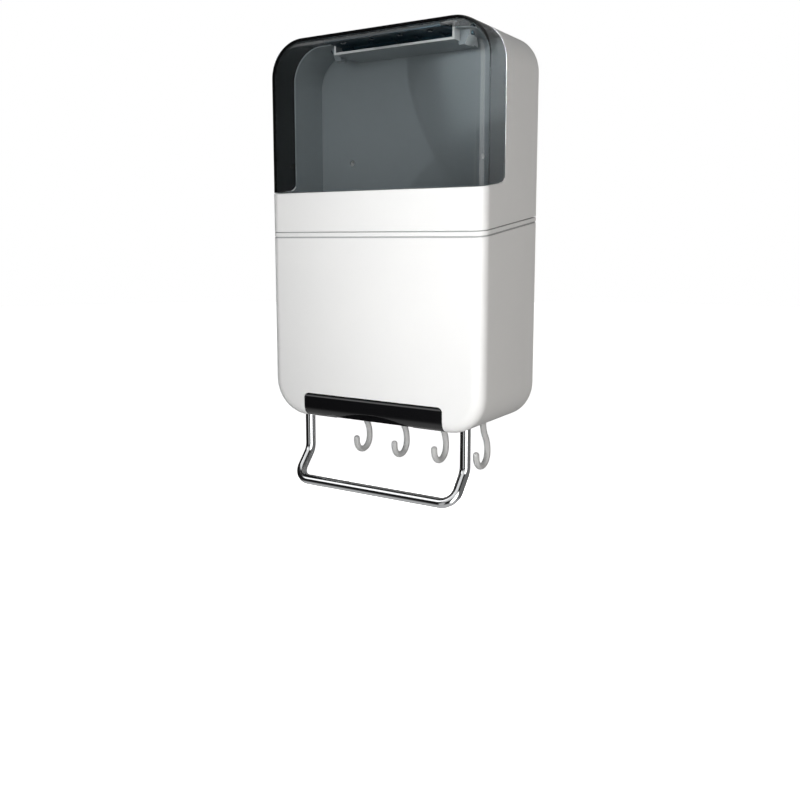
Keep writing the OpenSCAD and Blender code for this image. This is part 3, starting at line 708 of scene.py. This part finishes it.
class HOLDER_OT_case(bpy.types.Operator):
    """Finish the two white halves of the case"""

    bl_idname = "holder.case"
    bl_label = "Case"

    def execute(self, context):
        s = context.scene.holder_sizes
        finish = white_finish(context.scene.holder_finish, s)
        for name in ("upper_shell", "lower_container"):
            dress_node(name, finish)
        self.lips(s, finish)
        return {"FINISHED"}

    def lips(self, s, finish):
        """Thin lips that close the seam in the skirt behind the back wall; they slant with it."""
        inner = CASE_HIGH.x - s.case_wall
        seam = FOOT + s.seam_height
        bm = bmesh.new()
        for low_x, high_x in ((inner - s.lip_wall, inner), (-inner, s.lip_wall - inner)):
            low = (low_x, BACK_FACE, seam - s.seam_lip)
            high = (high_x, -s.edge_break, seam + s.seam_lip)
            rounded_block(bm, low, high, s.edge_break / 2)
        slant = Matrix.Identity(4)
        slant[2][1] = seam_slope(s)
        bmesh.ops.translate(bm, verts=bm.verts, vec=(0.0, -CASE_LOW.y, 0.0))
        bmesh.ops.transform(bm, verts=bm.verts, matrix=slant)
        bmesh.ops.translate(bm, verts=bm.verts, vec=(0.0, CASE_LOW.y, 0.0))
        finished_object("seam_lips", bm, finish, "case", [])


class HOLDER_OT_lid(bpy.types.Operator):
    """Model the smoked hood, with rounded rims, and the stakes under it"""

    bl_idname = "holder.lid"
    bl_label = "Lid"

    def execute(self, context):
        s, f = context.scene.holder_sizes, context.scene.holder_finish
        finish = smoke_finish(f, s)
        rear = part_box("lid")[1][1]
        slope = seam_slope(s)
        bm = bmesh.new()
        case_skin(bm, s, rear)
        lean = Vector((0.0, slope, -1.0)).normalized()
        at_front = Vector((0.0, CASE_LOW.y, FOOT + s.lid_rim))
        cut_off(bm, at_front, lean)
        # The lower rear corners are rounded by planes that lie against the round
        rim_rear = FOOT + s.lid_rim + slope * (rear - s.lid_corner - CASE_LOW.y)
        centre = Vector((0.0, rear - s.lid_corner, rim_rear + s.lid_corner / abs(lean.z)))
        from_angle = math.atan2(lean.z, lean.y)
        for i in range(1, CORNER_STEPS):
            angle = from_angle * (1 - i / CORNER_STEPS)
            out = Vector((0.0, math.cos(angle), math.sin(angle)))
            cut_off(bm, centre + out * s.lid_corner, out)
        bmesh.ops.recalc_face_normals(bm, faces=bm.faces)
        hood = finished_object("lid_hood", bm, finish, "lid", ["lid"])
        wall = hood.modifiers.new("wall", "SOLIDIFY")
        wall.thickness = s.lid_wall
        wall.offset = -1.0
        wall.use_even_offset = True
        rims = hood.modifiers.new("rims", "BEVEL")
        rims.width = s.edge_break
        rims.segments = 3
        rims.limit_method = "ANGLE"
        rims.angle_limit = SHARP
        even_normals(hood)
        hood.visible_shadow = False
        self.stakes(s, finish)
        return {"FINISHED"}

    def stakes(self, s, finish):
        """The row of stakes whose flattened heads hold the hinge leaf under the hood."""
        leaf_low, leaf_high = (Vector(corner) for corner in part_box("lid_hinge_leaf"))
        hood_high = Vector(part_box("lid")[1])
        step = (leaf_high.x - leaf_low.x) / STAKES
        y = (leaf_low.y + hood_high.y) / 2
        top = hood_high.z - s.lid_wall - s.leaf_tongue
        bm = bmesh.new()
        for i in range(STAKES):
            middle = Vector(((i - (STAKES - 1) / 2) * step, y, top - s.stake_height / 2))
            made = bmesh.ops.create_cone(
                bm, cap_ends=True, segments=32, radius1=s.stake_head / 2, radius2=s.stake_head / 2,
                depth=s.stake_height, matrix=Matrix.Translation(middle),
            )["verts"]
            edges = {edge for vert in made for edge in vert.link_edges}
            lower = [edge for edge in edges if all(vert.co.z < middle.z for vert in edge.verts)]
            round_edges(bm, lower, HEAD_ROUND * s.stake_height, 4)
        finished_object("lid_stakes", bm, finish, "lid", [])


class HOLDER_OT_hinge(bpy.types.Operator):
    """Finish the black hinge leaf and its two pins"""

    bl_idname = "holder.hinge"
    bl_label = "Hinge"

    def execute(self, context):
        finish = hinge_finish(context.scene.holder_finish)
        for name in ("lid_hinge_leaf", "hinge_pin_left", "hinge_pin_right"):
            dress_node(name, finish)
        return {"FINISHED"}


class HOLDER_OT_drip_tray(bpy.types.Operator):
    """Finish the gloss black drip tray"""

    bl_idname = "holder.drip_tray"
    bl_label = "Drip tray"

    def execute(self, context):
        dress_node("drip_tray", black_finish(context.scene.holder_finish))
        return {"FINISHED"}


class HOLDER_OT_inside(bpy.types.Operator):
    """Finish the drain plate and the two dividers"""

    bl_idname = "holder.inside"
    bl_label = "Inside"

    def execute(self, context):
        finish = inner_finish(context.scene.holder_finish)
        for name in ("drain_plate", "divider_left", "divider_right"):
            dress_node(name, finish)
        return {"FINISHED"}


class HOLDER_OT_towel_bar(bpy.types.Operator):
    """Bend the plated rod of the towel bar"""

    bl_idname = "holder.towel_bar"
    bl_label = "Towel bar"

    def execute(self, context):
        s = context.scene.holder_sizes
        leg_x, leg_y, top = s.bar_span / 2, -s.bar_from_wall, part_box("towel_bar")[1][2]
        half = [
            (leg_x, leg_y, top),
            (leg_x, leg_y, FOOT - s.bar_leg),
            (leg_x, leg_y - s.bar_reach, FOOT - s.bar_drop),
        ]
        other = [(-x, y, z) for x, y, z in reversed(half)]
        bends = [s.leg_bend, s.end_bend]
        bm = bmesh.new()
        run_rod(bm, half + other, bends + bends[::-1], s.bar_diameter, s.rod_sides)
        bar = finished_object(
            "towel_rod", bm, chrome_finish(context.scene.holder_finish), "case", ["towel_bar"]
        )
        even_normals(bar)
        return {"FINISHED"}


class HOLDER_OT_hooks(bpy.types.Operator):
    """Mould the four hooks with their heads, and finish the rail that keeps them"""

    bl_idname = "holder.hooks"
    bl_label = "Hooks"

    def execute(self, context):
        s, f = context.scene.holder_sizes, context.scene.holder_finish
        finish = frost_finish(f)
        dress_node("hook_rail", inner_finish(f))
        for name, body in HOOKS.items():
            low, high = (Vector(corner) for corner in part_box(name))
            x = (low.x + high.x) / 2
            head_low = high.z - s.hook_head_height
            neck = -s.hook_from_wall
            shank = neck + s.hook_lean
            tip = shank - 2 * s.hook_bowl - s.hook_flat
            lean_foot = FOOT - s.hook_neck - s.hook_lean_height
            bowl = lean_foot - s.hook_shank - s.hook_bowl
            tip_end = bowl + s.hook_bowl + s.hook_tip + TIP_ROUND * s.hook_diameter
            corners = [
                (x, neck, head_low + s.edge_break), (x, neck, FOOT - s.hook_neck), (x, shank, lean_foot),
                (x, shank, bowl), (x, tip, bowl), (x, tip, tip_end),
            ]
            bends = [s.hook_lean_bend, s.hook_lean_bend, s.hook_bowl, s.hook_bowl]
            bm = bmesh.new()
            run_rod(bm, corners, bends, s.hook_diameter, s.rod_sides, tip=True)
            head_near = (low.x, neck - s.hook_head / 2, head_low)
            head_far = (high.x, neck + s.hook_head / 2, high.z)
            rounded_block(bm, head_near, head_far, s.edge_break)
            hook = finished_object(name + "_moulding", bm, finish, body, [name])
            even_normals(hook)
        return {"FINISHED"}


class HOLDER_OT_screws(bpy.types.Operator):
    """Finish the three groups of screws"""

    bl_idname = "holder.screws"
    bl_label = "Screws"

    def execute(self, context):
        finish = steel_finish(context.scene.holder_finish)
        for name in ("towel_bar_screws", "rail_screws", "case_screws"):
            dress_node(name, finish)
        return {"FINISHED"}


class HOLDER_OT_stage(bpy.types.Operator):
    """Set up the pale floor, the soft lights, the surround and the camera"""

    bl_idname = "holder.stage"
    bl_label = "Stage"

    def execute(self, context):
        scene, st = context.scene, context.scene.holder_stage
        self.camera(scene, st)
        self.surround(scene)
        self.floor(scene, st)
        for light in (
            ("near_light", (0.16, -0.6, -0.1), (0.12, -0.1, -0.1), (0.3, 0.6), st.near_power, 90, WHITE),
            ("front_light", (0.12, -1.45, 0.1), (0.13, -0.1, 0.02), (0.4, 0.6), st.front_power, 40, WHITE),
            ("hood_light", (-0.1, -0.85, 0.14), (0.16, -0.03, 0.095), (0.12, 0.1), st.hood_power, 12, WHITE),
            ("side_light", (1.1, -0.45, -0.1), LIT_POINT, (0.7, 1.0), st.side_power, 180, WARM),
            ("rake_light", (0.9, 0.5, 0.2), LIT_POINT, (0.8, 1.0), st.rake_power, 180, WARM),
            ("low_light", (0.7, -0.35, -0.9), LIT_POINT, (0.6, 0.6), st.low_power, 180, WARM),
            ("rear_light", (-1.0, 1.3, 0.0), LIT_POINT, (1.2, 1.2), st.rear_power, 180, WHITE),
        ):
            soft_light(*light)
        scene.view_settings.view_transform = "Standard"
        return {"FINISHED"}

    def camera(self, scene, st):
        """Camera at the photograph's angle."""
        data = bpy.data.cameras.new("camera")
        data.lens = st.lens
        data.sensor_width = SENSOR_WIDTH
        data.shift_y = st.shift
        level = math.cos(st.pitch)
        ahead = Vector((-math.sin(st.heading) * level, math.cos(st.heading) * level, -math.sin(st.pitch)))
        camera = bpy.data.objects.new("camera", data)
        camera.location = st.place
        camera.rotation_euler = ahead.to_track_quat("-Z", "Y").to_euler()
        scene.collection.objects.link(camera)
        scene.camera = camera

    def surround(self, scene):
        """White behind the holder; dim for light that bounces; dark, but paler below, through the hood."""
        world = bpy.data.worlds.new("surround")
        world.use_nodes = True
        tree = world.node_tree
        link = tree.links.new
        back = tree.nodes["Background"]
        ray = node(tree, "ShaderNodeLightPath", (-800, 200))
        way = node(tree, "ShaderNodeTexCoord", (-1300, -300))
        tall = node(tree, "ShaderNodeMapping", (-1100, -300), vector_type="POINT")
        tall.inputs["Scale"].default_value = (1.0, 1.0, FLATTENING)
        link(way.outputs["Generated"], tall.inputs["Vector"])
        upright = node(tree, "ShaderNodeVectorMath", (-900, -300), operation="NORMALIZE")
        link(tall.outputs["Vector"], upright.inputs[0])
        shown = None
        for i, (axis, start, stop, glow) in enumerate(SOFT_BOXES):
            part = node(tree, "ShaderNodeVectorMath", (-700, -300 - 200 * i), operation="DOT_PRODUCT")
            part.inputs[1].default_value = Vector(axis).normalized()
            link(upright.outputs["Vector"], part.inputs[0])
            bright = ramp(tree, (-500, -300 - 200 * i), (start, DARK_TONE), (stop, glow), "SMOOTHSTEP")
            link(part.outputs["Value"], bright.inputs["Value"])
            if shown is None:
                shown = bright.outputs["Result"]
                continue
            both = node(tree, "ShaderNodeMath", (-300, -300 - 200 * i), operation="MAXIMUM")
            link(shown, both.inputs[0])
            link(bright.outputs["Result"], both.inputs[1])
            shown = both.outputs["Value"]
        axes = node(tree, "ShaderNodeSeparateXYZ", (-1100, 0))
        link(way.outputs["Generated"], axes.inputs["Vector"])
        beyond = ramp(tree, (-900, 0), ROOM_LEVEL, ROOM_BELOW, "SMOOTHSTEP")
        link(axes.outputs["Z"], beyond.inputs["Value"])
        for i, kind in enumerate(("Is Diffuse Ray", "Is Transmission Ray", "Is Camera Ray")):
            pick = node(tree, "ShaderNodeMix", (200 * i - 100, 0), data_type="RGBA")
            if kind == "Is Transmission Ray":
                link(beyond.outputs["Result"], pick.inputs["B"])
            else:
                tone = WHITE if kind == "Is Camera Ray" else (BOUNCE_TONE,) * 3
                pick.inputs["B"].default_value = opaque(tone)
            link(ray.outputs[kind], pick.inputs["Factor"])
            link(shown, pick.inputs["A"])
            shown = pick.outputs["Result"]
        link(shown, back.inputs["Color"])
        scene.world = world

    def floor(self, scene, st):
        """Wide pale disc well below the holder."""
        bm = bmesh.new()
        height = CAD_BOX[0][2] - st.floor_drop
        bmesh.ops.create_circle(
            bm, cap_ends=True, segments=96, radius=FLOOR_RADIUS, matrix=Matrix.Translation((0.0, 0.0, height))
        )
        mesh = bpy.data.meshes.new("floor")
        bm.to_mesh(mesh)
        bm.free()
        floor = bpy.data.objects.new("floor", mesh)
        scene.collection.objects.link(floor)
        finish, _, shader = bare_finish("pale_floor")
        shader.inputs["Base Color"].default_value = (0.9, 0.9, 0.9, 1.0)
        shader.inputs["Roughness"].default_value = 0.8
        shader.inputs["Emission Color"].default_value = opaque(WHITE)
        shader.inputs["Emission Strength"].default_value = 0.97
        dress(floor, finish)
        floor.visible_diffuse = False
        floor.visible_glossy = False
        floor.visible_transmission = False


class HOLDER_PT_panel(bpy.types.Panel):
    """Lists the pieces and their values"""

    bl_idname = "HOLDER_PT_panel"
    bl_label = "Chopstick holder"
    bl_space_type = "VIEW_3D"
    bl_region_type = "UI"
    bl_category = "Holder"

    def draw(self, context):
        for operator in OPERATORS:
            self.layout.operator(operator.bl_idname)
        for group in (context.scene.holder_sizes, context.scene.holder_finish, context.scene.holder_stage):
            box = self.layout.box()
            for name in group.__annotations__:
                box.prop(group, name)


OPERATORS = (
    HOLDER_OT_case, HOLDER_OT_lid, HOLDER_OT_hinge, HOLDER_OT_drip_tray, HOLDER_OT_inside,
    HOLDER_OT_towel_bar, HOLDER_OT_hooks, HOLDER_OT_screws, HOLDER_OT_stage,
)
GROUPS = {"holder_sizes": HolderSizes, "holder_finish": HolderFinish, "holder_stage": HolderStage}
CLASSES = (*GROUPS.values(), *OPERATORS, HOLDER_PT_panel)


def register():
    """Registers the classes and hangs the values on the scene."""
    for item in CLASSES:
        bpy.utils.register_class(item)
    for name, group in GROUPS.items():
        setattr(bpy.types.Scene, name, PointerProperty(type=group))


def unregister():
    """Undoes register."""
    for name in GROUPS:
        delattr(bpy.types.Scene, name)
    for item in reversed(CLASSES):
        bpy.utils.unregister_class(item)


def main():
    register()
    for operator in OPERATORS:
        group, name = operator.bl_idname.split(".")
        getattr(getattr(bpy.ops, group), name)()


if __name__ == "__main__":
    main()
